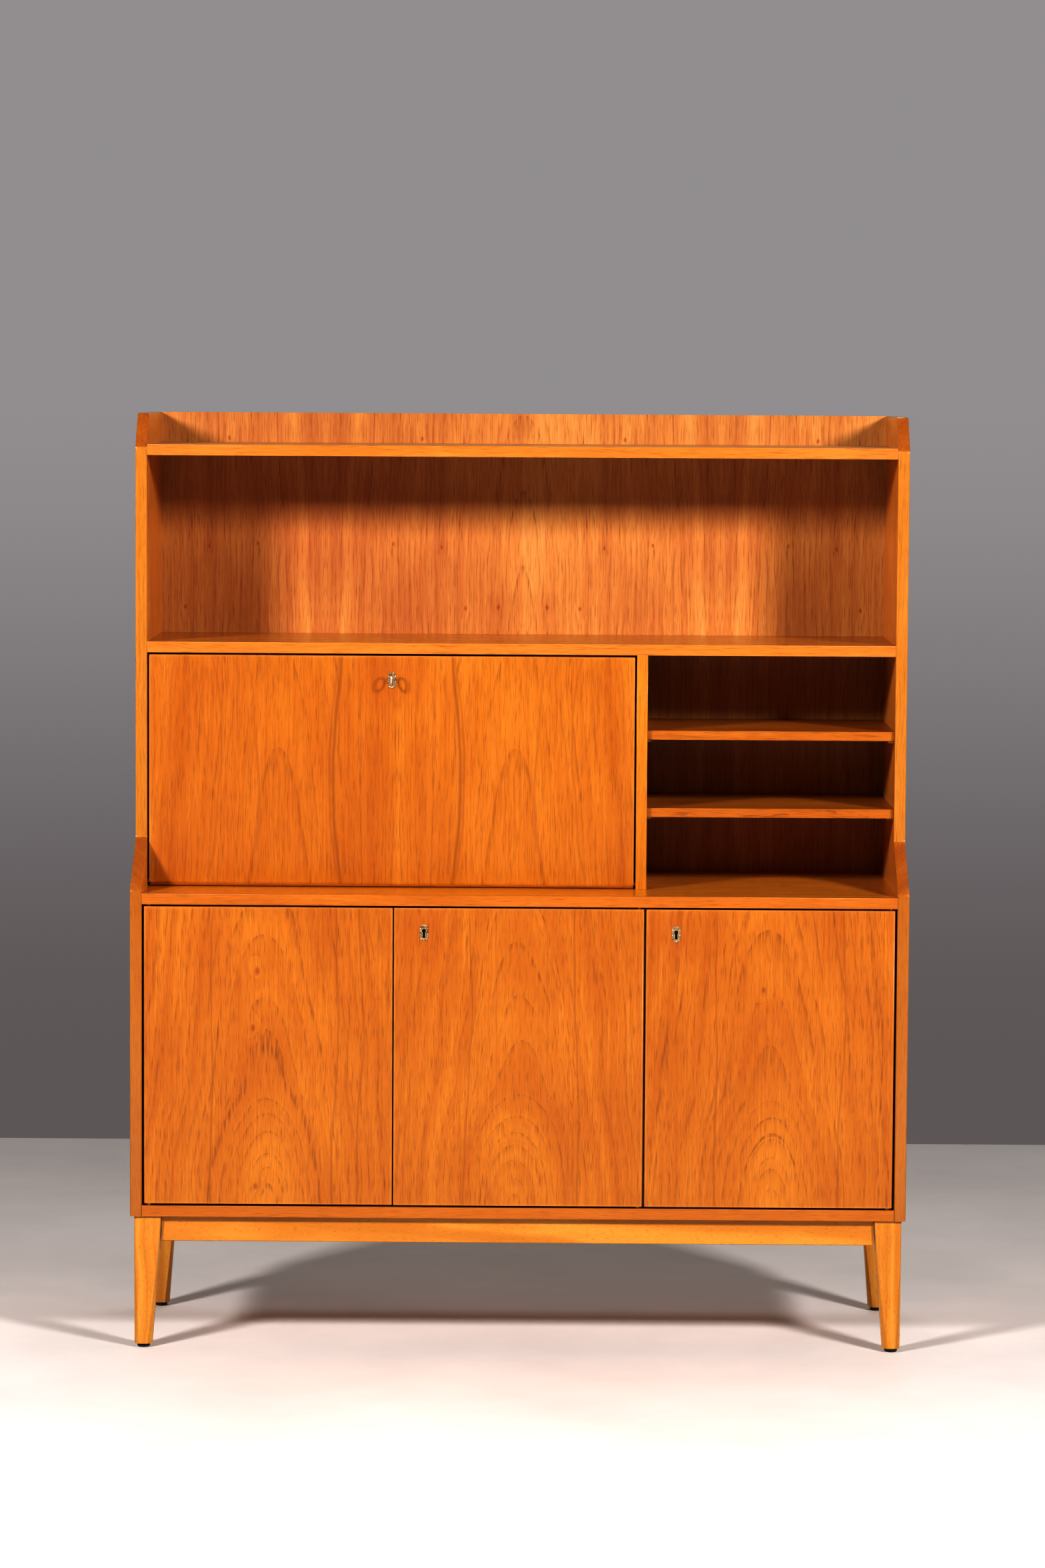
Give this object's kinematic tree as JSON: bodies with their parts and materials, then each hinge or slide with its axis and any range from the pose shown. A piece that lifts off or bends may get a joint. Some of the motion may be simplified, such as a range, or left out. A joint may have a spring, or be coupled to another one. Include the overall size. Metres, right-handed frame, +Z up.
{
  "type": "secretary desk",
  "caption": "Mid-century teak secretary: open bookshelf over a fall-front desk and open bay, three-door cupboard below, on a beech leg frame.",
  "frame": {"origin": "centre of the bounding box in plan, on the floor under the glides", "axes": "+X to the right of someone facing the doors, the front faces -Y, +Z up"},
  "size_m": [1.2, 0.4, 1.446],
  "materials": {
    "teak_veneer": "satin",
    "teak_solid": "satin",
    "beech": "satin",
    "plywood": "satin",
    "aged_brass": "satin",
    "steel": "satin",
    "nickel": "polished",
    "black_plastic": "matte"
  },
  "bodies": {
    "carcass": {"side_left": "teak_veneer", "side_right": "teak_veneer", "top_shelf": "teak_veneer", "middle_shelf": "teak_veneer", "worktop": "teak_veneer", "bottom_board": "teak_veneer", "upper_divider": "teak_veneer", "cupboard_partition": "teak_veneer", "back_upper": "plywood", "back_lower": "plywood", "open_shelf_upper": "teak_veneer", "open_shelf_lower": "teak_veneer", "cupboard_shelf_left": "teak_veneer", "cupboard_shelf_right": "teak_veneer", "desk_shelf": "teak_veneer", "desk_uprights": "teak_veneer", "shelf_pins": "aged_brass", "carcass_dowels": "beech", "carcass_screws": "steel", "leg_front_left": "beech", "leg_front_right": "beech", "leg_rear_left": "beech", "leg_rear_right": "beech", "rail_front": "beech", "rail_rear": "beech", "rail_left": "beech", "rail_right": "beech", "rail_blocks": "beech", "glides": "black_plastic", "stop_blocks": "teak_solid", "door_pivot_sockets": "aged_brass", "flap_pivot_sockets": "aged_brass", "strike_plates": "aged_brass", "stay_studs": "aged_brass"},
    "flap": {"flap_panel": "teak_veneer", "flap_pivots": "aged_brass", "flap_escutcheon": "aged_brass", "flap_lock_case": "steel", "stay_brackets": "aged_brass"},
    "flap_key": {"flap_key": "nickel"},
    "flap_lock_bolt": {"flap_lock_bolt": "aged_brass"},
    "stay_left": {"stay_left": "aged_brass"},
    "stay_right": {"stay_right": "aged_brass"},
    "door_1": {"door_1_panel": "teak_veneer", "door_1_pivots": "aged_brass", "door_1_strike_block": "teak_solid", "door_1_bolt_bodies": "aged_brass"},
    "door_1_top_bolt": {"door_1_top_bolt": "aged_brass"},
    "door_1_bottom_bolt": {"door_1_bottom_bolt": "aged_brass"},
    "door_2": {"door_2_panel": "teak_veneer", "door_2_pivots": "aged_brass", "door_2_escutcheon": "aged_brass", "door_2_lock_case": "steel"},
    "door_2_lock_bolt": {"door_2_lock_bolt": "aged_brass"},
    "door_3": {"door_3_panel": "teak_veneer", "door_3_pivots": "aged_brass", "door_3_escutcheon": "aged_brass", "door_3_lock_case": "steel"},
    "door_3_lock_bolt": {"door_3_lock_bolt": "aged_brass"}
  },
  "joints": [
    {"name": "flap_fold", "type": "hinge", "parent": "carcass", "child": "flap", "pos_m": [-0.201, -0.085, 0.7181], "axis": [1, 0, 0], "range_deg": [0, 90]},
    {"name": "stay_left_turn", "type": "hinge", "parent": "flap", "child": "stay_left", "pos_m": [-0.57895, -0.05669, 0.86373], "axis": [1, 0, 0], "range_deg": [-45, 0]},
    {"name": "stay_right_turn", "type": "hinge", "parent": "flap", "child": "stay_right", "pos_m": [0.17695, -0.05669, 0.86373], "axis": [1, 0, 0], "range_deg": [-45, 0]},
    {"name": "key_turn", "type": "hinge", "parent": "flap", "child": "flap_key", "pos_m": [-0.201, -0.077, 1.037], "axis": [0, 1, 0], "range_deg": [0, 180]},
    {"name": "flap_bolt_slide", "type": "slide", "parent": "flap", "child": "flap_lock_bolt", "axis": [0, 0, 1], "range_m": [0, 0.01]},
    {"name": "door_1_swing", "type": "hinge", "parent": "carcass", "child": "door_1", "pos_m": [-0.57179, -0.19, 0.45825], "axis": [0, 0, -1], "range_deg": [0, 95]},
    {"name": "door_1_top_bolt_slide", "type": "slide", "parent": "door_1", "child": "door_1_top_bolt", "axis": [0, 0, 1], "range_m": [0, 0.01]},
    {"name": "door_1_bottom_bolt_slide", "type": "slide", "parent": "door_1", "child": "door_1_bottom_bolt", "axis": [0, 0, -1], "range_m": [0, 0.01]},
    {"name": "door_2_swing", "type": "hinge", "parent": "carcass", "child": "door_2", "pos_m": [0.1854, -0.19, 0.45825], "axis": [0, 0, 1], "range_deg": [0, 95]},
    {"name": "door_2_bolt_slide", "type": "slide", "parent": "door_2", "child": "door_2_lock_bolt", "axis": [-1, 0, 0], "range_m": [0, 0.01]},
    {"name": "door_3_swing", "type": "hinge", "parent": "carcass", "child": "door_3", "pos_m": [0.57179, -0.19, 0.45825], "axis": [0, 0, 1], "range_deg": [0, 95]},
    {"name": "door_3_bolt_slide", "type": "slide", "parent": "door_3", "child": "door_3_lock_bolt", "axis": [-1, 0, 0], "range_m": [0, 0.01]}
  ],
  "couplings": [
    {"joint": "stay_left_turn", "follows": "flap_fold", "ratio": -0.5},
    {"joint": "stay_right_turn", "follows": "flap_fold", "ratio": -0.5},
    {"joint": "flap_bolt_slide", "follows": "key_turn", "m_per_rad": 0.0031831}
  ]
}
